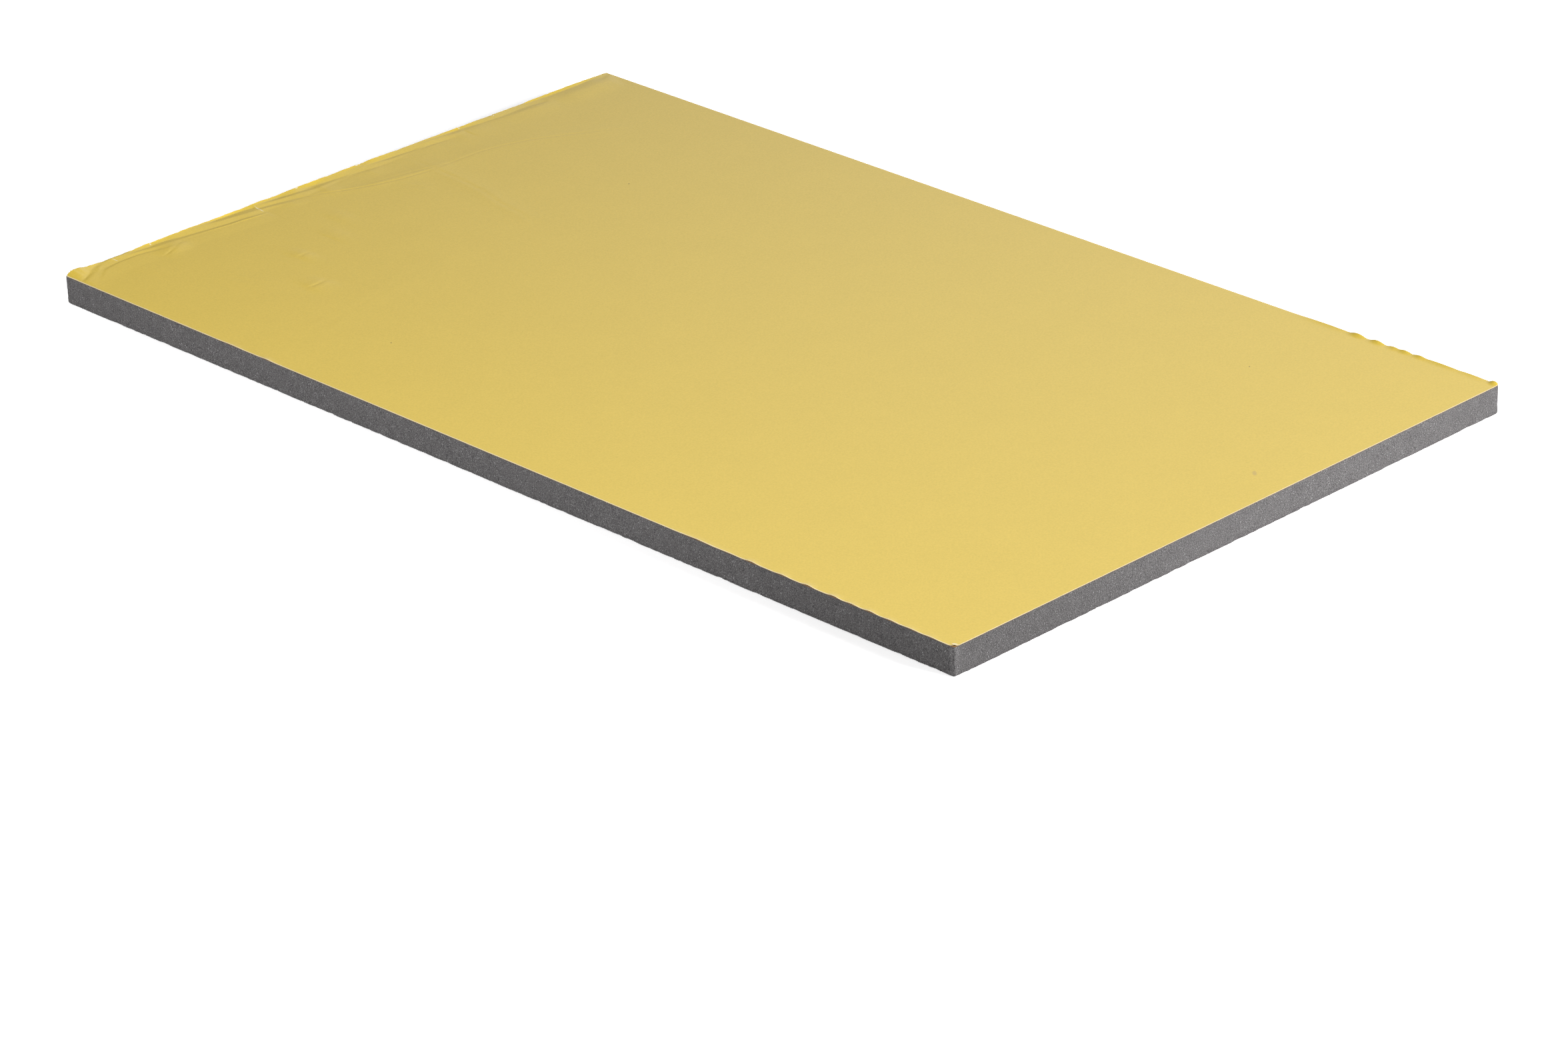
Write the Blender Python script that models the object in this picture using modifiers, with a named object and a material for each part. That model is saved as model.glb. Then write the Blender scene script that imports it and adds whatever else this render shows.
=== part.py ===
"""Acoustic foam panel with a peel-off liner over its adhesive side.

A flat slab of charcoal open-cell foam lies with its sound-facing side down.
Its top is coated with adhesive, and one thin yellow liner covers that coat.
The liner is stuck flat over the middle of the slab. Along its edges it has
come loose in places, and there it ripples, pleats and curls.

Units are metres, +Z is up, and the origin is the middle of the slab's
underside. X runs along the length and Y along the width.
"""

import math

import bmesh
import bpy
import numpy as np

# Foam slab
PANEL_LENGTH = 1.000
PANEL_WIDTH = 0.600
FOAM_THICKNESS = 0.024
CORNER_RADIUS = 0.002       # the four upright corners
ARRIS_RADIUS = 0.002        # the edges round the underside, softened by handling
ROUND_SEGMENTS = 3

# Liner and the adhesive coat that it protects
ADHESIVE_THICKNESS = 0.0003
LINER_THICKNESS = 0.00015
LINER_SETBACK = 0.0002      # from the slab's edge in to the liner's edge
MARGIN_WIDTH = 0.024        # strip round the liner that can lift

# Ripples along the back edge. Each crest: distance from the right-hand corner, height and spread.
RIPPLE_CRESTS = (
    (0.0045, 0.0018, 0.0030),
    (0.028, 0.0010, 0.011),
    (0.058, 0.0013, 0.015),
    (0.078, 0.0017, 0.005),
    (0.093, 0.0018, 0.005),
    (0.104, 0.0014, 0.004),
    (0.121, 0.0020, 0.005),
    (0.141, 0.0021, 0.0055),
    (0.172, 0.0018, 0.019),
)
RIPPLE_DEPTH = 0.012        # how far in from the edge a ripple reaches
RIPPLE_END = 0.210          # beyond the last crest

# Scallops along the front edge, measured from the near corner
SCALLOP_START = 0.020
SCALLOP_END = 0.290
SCALLOP_PITCH = 0.0215
SCALLOP_HEIGHT = 0.0006
SCALLOP_DEPTH = 0.006

# Pleated lip along the left end, measured from the left-hand corner
LIP_HEIGHT = 0.0020
LIP_WIDTH = 0.006           # from the edge in to the crease
PLEAT_ENDS = (0.15, 0.325, 0.402, 0.525, 0.707, 0.773, 0.840, 0.873, 0.98)  # shares of the left end's length
PLEAT_LOW = 0.45            # share of the lip's height where a pleat begins
PLEAT_DROP = 0.10           # share of a pleat's length over which it ends
LIP_TAPER = 0.045           # length over which the lip dies out at the far corner

# Raised corners
FLAP_CENTRE = 0.015         # from the left-hand corner, along the left end
FLAP_SPREAD = 0.009
FLAP_REACH = 0.018
FLAP_HEIGHT = 0.0030
CURL_REACH = 0.013          # dog-ear at the near corner
CURL_HEIGHT = 0.0015

# Spacing of the points along the liner's edge
PLAIN_STEP = 0.040
SCALLOP_STEP = 0.0045
RIPPLE_STEP = 0.0030
PLEAT_STEP = 0.005
CORNER_STEP = 0.003
CRIMP_STEP = 0.0015
CORNER_RUN = 0.018          # length beside a raised corner with close points
LEAST_STEP = 0.001          # closer points than this are left out

# Colours as sRGB hex values, roughness from 0 to 1
FOAM_COLOUR = 0x646262
FOAM_ROUGHNESS = 0.95
LINER_COLOUR = 0xDFC56E
LINER_ROUGHNESS = 0.42

# Worked out from the sizes above
HALF_LENGTH = PANEL_LENGTH / 2
HALF_WIDTH = PANEL_WIDTH / 2
LINER_HALF_LENGTH = HALF_LENGTH - LINER_SETBACK
LINER_HALF_WIDTH = HALF_WIDTH - LINER_SETBACK
LINER_UNDERSIDE = FOAM_THICKNESS + ADHESIVE_THICKNESS


def clear_scene():
    """Remove whatever the scene holds."""
    for obj in list(bpy.data.objects):
        bpy.data.objects.remove(obj, do_unlink=True)


def linear_colour(hex_value):
    """An sRGB hex value as the linear RGBA that a shader takes."""
    channels = [((hex_value >> shift) & 255) / 255 for shift in (16, 8, 0)]
    return [c / 12.92 if c <= 0.04045 else ((c + 0.055) / 1.055) ** 2.4 for c in channels] + [1.0]


def make_material(name, colour, roughness):
    """A plain Principled material."""
    material = bpy.data.materials.new(name)
    material.use_nodes = True
    shader = material.node_tree.nodes["Principled BSDF"]
    shader.inputs["Base Color"].default_value = linear_colour(colour)
    shader.inputs["Roughness"].default_value = roughness
    shader.inputs["Metallic"].default_value = 0.0
    return material


def add_object(name, mesh_source, material, collection):
    """Put a bmesh in the collection as an object with its material."""
    mesh = bpy.data.meshes.new(name)
    mesh_source.to_mesh(mesh)
    mesh_source.free()
    mesh.materials.append(material)
    obj = bpy.data.objects.new(name, mesh)
    collection.objects.link(obj)
    return obj


def foam_slab(collection):
    """A block with rounded upright corners and a softened lower edge."""
    bm = bmesh.new()
    bmesh.ops.create_cube(bm, size=1.0)
    bmesh.ops.scale(bm, vec=(PANEL_LENGTH, PANEL_WIDTH, FOAM_THICKNESS), verts=bm.verts)
    bmesh.ops.translate(bm, vec=(0.0, 0.0, FOAM_THICKNESS / 2), verts=bm.verts)

    upright = [edge for edge in bm.edges if abs(edge.verts[0].co.z - edge.verts[1].co.z) > FOAM_THICKNESS / 2]
    bmesh.ops.bevel(bm, geom=upright, offset=CORNER_RADIUS, offset_type="OFFSET",
                    segments=ROUND_SEGMENTS, profile=0.5, affect="EDGES")
    lower = [edge for edge in bm.edges if max(vert.co.z for vert in edge.verts) < FOAM_THICKNESS / 2]
    bmesh.ops.bevel(bm, geom=lower, offset=ARRIS_RADIUS, offset_type="OFFSET",
                    segments=ROUND_SEGMENTS, profile=0.5, affect="EDGES")
    material = make_material("charcoal_open_cell_foam", FOAM_COLOUR, FOAM_ROUGHNESS)
    return add_object("foam_slab", bm, material, collection)


def side_stations(run, zones):
    """Distances along one side: close together in each zone, far apart elsewhere.

    A zone is (start, end, step), measured from where the side begins.
    """
    plain = np.linspace(0.0, run, max(2, round(run / PLAIN_STEP)) + 1)
    for start, end, step in zones:
        plain = plain[(plain < start - step) | (plain > end + step)]
    close = [np.linspace(max(0.0, start), min(run, end), max(2, round((end - start) / step)) + 1)
             for start, end, step in zones]
    merged = np.sort(np.concatenate([plain, *close]))
    merged = merged[(merged > LEAST_STEP) & (merged < run - LEAST_STEP)]
    return merged[np.diff(merged, prepend=0.0) >= LEAST_STEP]


def liner_outline():
    """Points round the liner's edge, anticlockwise from the left-hand corner."""
    radius = max(CORNER_RADIUS - LINER_SETBACK, LINER_SETBACK)
    long_run = 2 * (LINER_HALF_LENGTH - radius)
    short_run = 2 * (LINER_HALF_WIDTH - radius)
    corner = (0.0, CORNER_RUN, CORNER_STEP)
    zones_by_side = [
        (long_run, [(long_run - SCALLOP_END, long_run - CORNER_RUN, SCALLOP_STEP),
                    (long_run - CORNER_RUN, long_run, CORNER_STEP)]),
        (short_run, [corner, (short_run - CORNER_RUN, short_run, CORNER_STEP)]),
        (long_run, [(0.0, CORNER_RUN, CRIMP_STEP), (CORNER_RUN, RIPPLE_END, RIPPLE_STEP)]),
        (short_run, [(0.0, short_run, PLEAT_STEP), (short_run - 2 * CORNER_RUN, short_run, CORNER_STEP)]),
    ]
    corners = [(-1, -1), (1, -1), (1, 1), (-1, 1)]
    points = []
    for side, (run, zones) in enumerate(zones_by_side):
        turn = side * math.pi / 2
        along = np.array([math.cos(turn), math.sin(turn)])
        centre = np.array(corners[side]) * (LINER_HALF_LENGTH - radius, LINER_HALF_WIDTH - radius)
        for step in range(ROUND_SEGMENTS + 1):
            angle = turn - math.pi + step / ROUND_SEGMENTS * math.pi / 2
            points.append(centre + radius * np.array([math.cos(angle), math.sin(angle)]))
        start = points[-1]
        points.extend(start + along * distance for distance in side_stations(run, zones))
    return points


def fade(distance, reach):
    """1 at the edge, falling smoothly to 0 at the given reach."""
    return max(0.0, 1.0 - distance / reach) ** 2


def bump(position, centre, spread):
    """A rounded hump that is 1 at its centre and 0 from two spreads away."""
    return max(0.0, 1.0 - ((position - centre) / (2 * spread)) ** 2) ** 2


def wave(along, start, end, pitch):
    """A train of even crests from 0 to 1, highest in the middle of its run."""
    if not start < along < end:
        return 0.0
    swell = math.sin(math.pi * (along - start) / (end - start)) ** 0.5
    return swell * (0.5 + 0.5 * math.cos(2 * math.pi * along / pitch))


def lip(along, from_far_end):
    """Height of the pleated lip along the left end, as a share of its full height.

    Each pleat rises from where the one before it ends, and drops where it ends itself.
    """
    share = along / PANEL_WIDTH
    rise = 0.0
    for start, end in zip((0.0,) + PLEAT_ENDS, PLEAT_ENDS):
        if start <= share < end:
            through = (share - start) / (end - start)
            rise = min(through / (1 - PLEAT_DROP), (1 - through) / PLEAT_DROP)
    return (PLEAT_LOW + (1 - PLEAT_LOW) * rise) * min(1.0, max(0.0, from_far_end / LIP_TAPER))


def liner_lift(x, y):
    """How far the liner stands above its stuck-down level at a point in plan."""
    left, right = x + LINER_HALF_LENGTH, LINER_HALF_LENGTH - x
    front, back = y + LINER_HALF_WIDTH, LINER_HALF_WIDTH - y
    ripples = max(height * bump(right, crest, spread) for crest, height, spread in RIPPLE_CRESTS)
    scallops = wave(right, SCALLOP_START, SCALLOP_END, SCALLOP_PITCH)
    return max(
        ripples * fade(back, RIPPLE_DEPTH),
        SCALLOP_HEIGHT * scallops * fade(front, SCALLOP_DEPTH),
        LIP_HEIGHT * lip(front, back) * max(0.0, 1.0 - left / LIP_WIDTH),
        FLAP_HEIGHT * bump(front, FLAP_CENTRE, FLAP_SPREAD) * fade(left, FLAP_REACH),
        CURL_HEIGHT * fade(math.hypot(right, front), CURL_REACH),
    )


def release_liner(collection):
    """One sheet: rings round a flat middle, lifted near its edges, then thickened."""
    bm = bmesh.new()
    verts = [bm.verts.new((x, y, 0.0)) for x, y in liner_outline()]
    edges = [bm.edges.new(pair) for pair in zip(verts, verts[1:] + verts[:1])]
    rings = [0.0, LIP_WIDTH / 3, LIP_WIDTH, (LIP_WIDTH + MARGIN_WIDTH) / 2, MARGIN_WIDTH]
    for outer, inner in zip(rings, rings[1:]):
        made = bmesh.ops.extrude_edge_only(bm, edges=edges)["geom"]
        verts = [item for item in made if isinstance(item, bmesh.types.BMVert)]
        ring = set(verts)
        edges = [item for item in made if isinstance(item, bmesh.types.BMEdge) and ring.issuperset(item.verts)]
        shrink = ((LINER_HALF_LENGTH - inner) / (LINER_HALF_LENGTH - outer),
                  (LINER_HALF_WIDTH - inner) / (LINER_HALF_WIDTH - outer), 1.0)
        bmesh.ops.scale(bm, vec=shrink, verts=verts)
    bmesh.ops.edgeloop_fill(bm, edges=edges)
    bmesh.ops.recalc_face_normals(bm, faces=bm.faces)
    if sum(face.normal.z for face in bm.faces) < 0.0:
        bmesh.ops.reverse_faces(bm, faces=bm.faces)
    for vert in bm.verts:
        vert.co.z = LINER_UNDERSIDE + liner_lift(vert.co.x, vert.co.y)

    material = make_material("yellow_release_paper", LINER_COLOUR, LINER_ROUGHNESS)
    obj = add_object("release_liner", bm, material, collection)
    obj.data.shade_smooth()
    sheet = obj.modifiers.new("Sheet", "SOLIDIFY")
    sheet.thickness = LINER_THICKNESS
    sheet.offset = 1.0
    return obj


def main():
    clear_scene()
    collection = bpy.data.collections.new("acoustic_foam_panel")
    bpy.context.scene.collection.children.link(collection)
    foam_slab(collection)
    release_liner(collection)


main()
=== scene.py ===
# %% [markdown]
# # A self-adhesive acoustic foam panel
# The panel is a flat slab of charcoal foam. One side is coated with adhesive, and a sheet
# of yellow release paper covers that coat until the panel is stuck to a wall. The paper
# lies flat over most of the slab, but along its edges it has come loose: it ripples near the
# right-hand corner, waves along the front, is pleated along the left end and is turned up at
# the left-hand and near corners.
#
# The two solids of the frame give the sizes. Here the slab gets its open cells and cut
# faces, and the paper its creases and satin finish.

# %% Load the frame
import math

import bpy
import numpy as np
from mathutils import Matrix, Vector


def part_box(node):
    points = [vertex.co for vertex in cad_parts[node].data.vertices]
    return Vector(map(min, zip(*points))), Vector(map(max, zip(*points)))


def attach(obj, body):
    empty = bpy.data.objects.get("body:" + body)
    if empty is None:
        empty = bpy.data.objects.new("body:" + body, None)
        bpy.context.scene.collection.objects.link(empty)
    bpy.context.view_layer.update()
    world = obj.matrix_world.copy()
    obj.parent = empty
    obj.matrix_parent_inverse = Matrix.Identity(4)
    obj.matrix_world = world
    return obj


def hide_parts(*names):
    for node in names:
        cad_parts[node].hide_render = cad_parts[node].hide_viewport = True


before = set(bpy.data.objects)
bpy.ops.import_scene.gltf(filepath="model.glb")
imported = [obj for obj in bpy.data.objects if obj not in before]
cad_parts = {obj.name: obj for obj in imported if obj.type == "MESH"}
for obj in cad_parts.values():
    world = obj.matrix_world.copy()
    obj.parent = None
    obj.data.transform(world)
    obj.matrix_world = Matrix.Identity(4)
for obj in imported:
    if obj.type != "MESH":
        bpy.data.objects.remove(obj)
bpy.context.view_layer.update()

slab_low, slab_high = (np.array(corner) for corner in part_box("foam_slab"))
paper_low, paper_high = (np.array(corner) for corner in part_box("release_liner"))
print("slab in metres:", np.round(slab_high - slab_low, 4))

# %% [markdown]
# ## Helpers
# Colours are given as hex values, but a shader works in linear light, so one function
# converts them. Another adds a shader node with its settings and links. The others turn a
# grid of points into a mesh and print its size: every surface here is a formula over two
# parameters, worked out for all its points at once.

# %% Colour, node and mesh helpers
MILLIMETRE = 0.001


def srgb(hex_value):
    """A hex colour as linear RGBA: each channel c becomes ((c + 0.055) / 1.055) ** 2.4."""
    channels = [((hex_value >> shift) & 255) / 255 for shift in (16, 8, 0)]
    return [c / 12.92 if c <= 0.04045 else ((c + 0.055) / 1.055) ** 2.4 for c in channels] + [1.0]


def add_node(tree, kind, links=None, values=None, **settings):
    """Add a node, set its properties and its sockets' values, and link its inputs."""
    node = tree.nodes.new(kind)
    for name, setting in settings.items():
        setattr(node, name, setting)
    for socket, value in (values or {}).items():
        node.inputs[socket].default_value = value
    for socket, source in (links or {}).items():
        tree.links.new(source, node.inputs[socket])
    return node


def new_material(name):
    """An empty material and its node tree."""
    material = bpy.data.materials.new(name)
    material.use_nodes = True
    material.node_tree.nodes.clear()
    return material, material.node_tree


CRISP_ANGLE = math.radians(50)      # an edge that bends by more than this stays crisp


def mesh_object(name, points, faces, material):
    """A mesh object from an (n, 3) array of points and a list of faces, smooth with crisp edges."""
    mesh = bpy.data.meshes.new(name)
    mesh.from_pydata(points.tolist(), [], faces)
    mesh.validate()
    mesh.shade_smooth()
    mesh.set_sharp_from_angle(angle=CRISP_ANGLE)
    mesh.materials.append(material)
    obj = bpy.data.objects.new(name, mesh)
    bpy.context.scene.collection.objects.link(obj)
    return obj


def print_triangles(obj):
    """Print how many triangles a piece has."""
    obj.data.calc_loop_triangles()
    print(obj.name + ":", len(obj.data.loop_triangles), "triangles")


def grid_faces(rows, columns, closed=False):
    """Quads between neighbouring rows and columns. A closed grid joins its last column to its first."""
    row = np.arange(rows - 1)[:, None]
    column = np.arange(columns if closed else columns - 1)[None, :]
    after = (column + 1) % columns
    corners = [row * columns + column, row * columns + after,
               (row + 1) * columns + after, (row + 1) * columns + column]
    return np.stack([np.broadcast_to(c, corners[0].shape) for c in corners], -1).reshape(-1, 4).tolist()


# %% [markdown]
# ## Camera
# The photo was taken from a few metres away with a long lens, a little over the panel, so
# its sides stay nearly parallel. The camera's direction, height and distance are the ones
# for which a panel of this size falls on its four corners in the photo.

# %% Camera
IMAGE_WIDTH = 2352              # pixels
SENSOR_WIDTH = 36.0             # millimetres
FOCAL_PIXELS = 8964.0           # focal length in pixels of the photo
CAMERA_AZIMUTH = 46.22          # degrees round from the panel's front, towards its right end
CAMERA_ELEVATION = 25.50        # degrees above the floor
CAMERA_ROLL = -1.90             # degrees
CAMERA_DISTANCE = 4.382         # metres from the point it looks at
LOOKS_AT = (0.2659, -0.2369, 0.0245)


def camera_matrix(azimuth, elevation, roll, distance, target):
    """Place a camera on a sphere round the target, looking at it, turned by roll about its view."""
    a, e, r = (math.radians(angle) for angle in (azimuth, elevation, roll))
    back = Vector((math.sin(a) * math.cos(e), -math.cos(a) * math.cos(e), math.sin(e)))
    right = Vector((0.0, 0.0, 1.0)).cross(back).normalized()
    up = back.cross(right)
    turned_right = math.cos(r) * right + math.sin(r) * up
    turned_up = math.cos(r) * up - math.sin(r) * right
    turn = Matrix((turned_right, turned_up, back)).transposed().to_4x4()
    return Matrix.Translation(Vector(target) + distance * back) @ turn


camera_data = bpy.data.cameras.new("camera")
camera_data.sensor_width = SENSOR_WIDTH
camera_data.lens = FOCAL_PIXELS / IMAGE_WIDTH * SENSOR_WIDTH
camera = bpy.data.objects.new("camera", camera_data)
camera.matrix_world = camera_matrix(CAMERA_AZIMUTH, CAMERA_ELEVATION, CAMERA_ROLL, CAMERA_DISTANCE, LOOKS_AT)
bpy.context.scene.collection.objects.link(camera)
bpy.context.scene.camera = camera
print("lens:", round(camera_data.lens, 1), "mm")

# %% [markdown]
# ## Studio
# The panel lies on a pale floor in a white room. A big soft lamp stands off its right end
# and a weaker one in front of it, so the right end is the bright side and the paper dims
# towards the far corner. The room is white to the camera's right, and dim to its left and
# overhead: the paper mirrors it faintly, which is why its colour is richer at the left.
#
# Seen by the camera, the floor and the world are white. Other rays meet plain values, so
# that no extra light falls on the panel, and the floor keeps the panel's shadow.

# %% Floor, world and lamps
FLOOR_SIZE = 30.0               # metres
FLOOR_GREY = 0xDCDCDC
FLOOR_SEEN_NEAR = 2.0           # brightness of the floor for the camera, so that it is white when lit
FLOOR_SEEN_FAR = 8.0            # the same far off, where the lamps hardly reach
FLOOR_FALLOFF = (0.5, 4.0)      # metres from the panel's middle over which the one turns to the other
WORLD_STRENGTH = 0.12
DIM_SIDE = 0.15                 # brightness of the room's left half for reflections, beside 1 for its right
DIM_EDGE = (-0.12, 0.12)        # how far the change from dim to bright reaches
DIM_AXIS = (0.643, 0.766, 0.0)
CEILING = 0.1                   # brightness overhead for reflections, beside 1 near the floor
CEILING_FADE = (0.48, 0.72)     # where that change starts and ends: 0 is a level ray, 1 straight up
KEY_SIZE, KEY_POWER, KEY_PLACE = 2.0, 265.0, (3.85, 1.42, 1.52)     # metres, watts, metres
FILL_SIZE, FILL_POWER, FILL_PLACE = 1.0, 29.6, (-0.24, -1.93, 1.10)
LAMP_AIM = (0.1, 0.0, 0.0)


def floor_material():
    """A pale matt floor that the camera sees brighter, and so white, with its shadows kept."""
    material, tree = new_material("pale_studio_floor")
    path = add_node(tree, "ShaderNodeLightPath")
    place = add_node(tree, "ShaderNodeTexCoord").outputs["Object"]
    distance = add_node(tree, "ShaderNodeVectorMath", operation="LENGTH", links={0: place})
    seen = add_node(tree, "ShaderNodeMapRange", links={"Value": distance.outputs["Value"]},
                    values={"From Min": FLOOR_FALLOFF[0], "From Max": FLOOR_FALLOFF[1],
                            "To Min": FLOOR_SEEN_NEAR, "To Max": FLOOR_SEEN_FAR})
    colour = add_node(tree, "ShaderNodeMix", data_type="RGBA", clamp_result=False,
                      links={"Factor": path.outputs["Is Camera Ray"], "B": seen.outputs["Result"]},
                      values={"A": srgb(FLOOR_GREY)})
    surface = add_node(tree, "ShaderNodeBsdfDiffuse", links={"Color": colour.outputs["Result"]})
    add_node(tree, "ShaderNodeOutputMaterial", links={"Surface": surface.outputs["BSDF"]})
    return material


def studio_world():
    """White for the camera, white with a dim side and ceiling for reflections, and dim as a light.

    The dim side is where the ray's direction along an axis is below an edge, and the ceiling
    where its height is above one, both with a soft change.
    """
    world = bpy.data.worlds.new("white_room")
    world.use_nodes = True
    tree = world.node_tree
    tree.nodes.clear()
    path = add_node(tree, "ShaderNodeLightPath")
    direction = add_node(tree, "ShaderNodeTexCoord").outputs["Generated"]
    along = add_node(tree, "ShaderNodeVectorMath", operation="DOT_PRODUCT", links={0: direction},
                     values={1: DIM_AXIS})
    room = add_node(tree, "ShaderNodeMapRange", interpolation_type="SMOOTHSTEP",
                    links={"Value": along.outputs["Value"]},
                    values={"From Min": DIM_EDGE[0], "From Max": DIM_EDGE[1], "To Min": DIM_SIDE})
    level = add_node(tree, "ShaderNodeSeparateXYZ", links={0: direction})
    height = add_node(tree, "ShaderNodeMapRange", interpolation_type="SMOOTHSTEP",
                      links={"Value": level.outputs["Z"]},
                      values={"From Min": CEILING_FADE[0], "From Max": CEILING_FADE[1],
                              "To Min": 1.0, "To Max": CEILING})
    walls = add_node(tree, "ShaderNodeMath", operation="MULTIPLY",
                     links={0: room.outputs["Result"], 1: height.outputs["Result"]})
    light = add_node(tree, "ShaderNodeMix", data_type="FLOAT",
                     links={"Factor": path.outputs["Is Glossy Ray"], "B": walls.outputs["Value"]},
                     values={"A": WORLD_STRENGTH})
    seen = add_node(tree, "ShaderNodeMath", operation="MAXIMUM",
                    links={0: path.outputs["Is Camera Ray"], 1: path.outputs["Is Transmission Ray"]})
    strength = add_node(tree, "ShaderNodeMix", data_type="FLOAT",
                        links={"Factor": seen.outputs["Value"], "A": light.outputs["Result"]},
                        values={"B": 1.0})
    backdrop = add_node(tree, "ShaderNodeBackground", links={"Strength": strength.outputs["Result"]},
                        values={"Color": srgb(0xFFFFFF)})
    add_node(tree, "ShaderNodeOutputWorld", links={"Surface": backdrop.outputs["Background"]})
    return world


def soft_lamp(name, size, power, place, aim):
    """A square area lamp that faces its aim. It lights but isn't mirrored, so no side shows glare."""
    data = bpy.data.lights.new(name, "AREA")
    data.shape, data.size, data.energy = "SQUARE", size, power
    lamp = bpy.data.objects.new(name, data)
    facing = (Vector(aim) - Vector(place)).to_track_quat("-Z", "Y")
    lamp.matrix_world = Matrix.Translation(place) @ facing.to_matrix().to_4x4()
    lamp.visible_glossy = False
    bpy.context.scene.collection.objects.link(lamp)


floor = mesh_object("floor", np.array([(-1, -1, 0), (1, -1, 0), (1, 1, 0), (-1, 1, 0)]) * FLOOR_SIZE / 2,
                    [(0, 1, 2, 3)], floor_material())
bpy.context.scene.world = studio_world()
soft_lamp("key_softbox", KEY_SIZE, KEY_POWER, KEY_PLACE, LAMP_AIM)
soft_lamp("fill_softbox", FILL_SIZE, FILL_POWER, FILL_PLACE, LAMP_AIM)
bpy.context.scene.view_settings.view_transform = "Standard"

# %% [markdown]
# ## The foam slab
# Acoustic foam is polyurethane blown into a block and sliced with a blade, so its faces are
# flat but full of cut cells, and its edges are a little soft. The slab is one profile, from
# the middle of its underside up to the middle of its top, carried round the panel's
# outline. The cut sides get a fine random relief, pushed only inwards so that the slab
# keeps its size.

# %% Slab shape
CORNER_RADIUS = 2.0 * MILLIMETRE
ARRIS_RADIUS = 2.0 * MILLIMETRE     # the edge round the underside
ARRIS_POINTS = 4
OUTLINE_STEP = 1.35 * MILLIMETRE
SIDE_ROWS = 17
INNER_RINGS = (0.99, 0.93, 0.6)     # rings on the flat faces, as shares of the outline
CELL_RELIEF = 0.16 * MILLIMETRE     # depth of the open cells on a cut side
BLADE_WANDER = 0.15 * MILLIMETRE    # slow drift of the cut
ARRIS_WEAR = 0.35 * MILLIMETRE      # how ragged the lower edge is
CELL_BLUR, WANDER_BLUR, WEAR_BLUR = 0.8, 12.0, 1.6      # how far each is smoothed, in grid steps
RELIEF_CAP = 2.0                    # deepest cell or wear, as a multiple of its depth above
TOP_RELIEF = 0.3                    # share of the relief that the upper edge keeps
SEED = 7


def outline(half_length, half_width, radius, step):
    """Points evenly round a rectangle with rounded corners, anticlockwise, and their outward normals.

    The four sides are straight runs and the corners quarter circles. Each point is found by
    its distance along the whole outline.
    """
    runs = np.array([2 * (half_length - radius), 2 * (half_width - radius)] * 2)
    quarter = math.pi / 2 * radius
    count = round((runs.sum() + 4 * quarter) / step)
    place = np.arange(count) * (runs.sum() + 4 * quarter) / count
    starts = np.concatenate([[0.0], np.cumsum(runs + quarter)])[:4]
    side = np.searchsorted(starts, place, side="right") - 1
    along = place - starts[side]
    turn = side * math.pi / 2 + np.clip((along - runs[side]) / radius, 0.0, None)
    normal = np.stack([np.sin(turn), -np.cos(turn)], -1)
    centres = np.array([(1, -1), (1, 1), (-1, 1), (-1, -1)]) * (half_length - radius, half_width - radius)
    forward = np.stack([np.cos(side * math.pi / 2), np.sin(side * math.pi / 2)], -1)
    short = np.minimum(along - runs[side], 0.0)
    return centres[side] + forward * short[:, None] + radius * normal, normal


def smooth_noise(rows, columns, blur, generator):
    """Blurred random values of about unit size on a grid that closes on itself.

    The spectrum of white noise is multiplied by exp(-(frequency * blur) ** 2 / 2).
    """
    spectrum = np.fft.fft2(generator.standard_normal((rows, columns)))
    across = np.fft.fftfreq(rows)[:, None] * 2 * math.pi
    round_it = np.fft.fftfreq(columns)[None, :] * 2 * math.pi
    spectrum *= np.exp(-(across ** 2 + round_it ** 2) * blur ** 2 / 2)
    values = np.fft.ifft2(spectrum).real
    return values / values.std()


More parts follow.
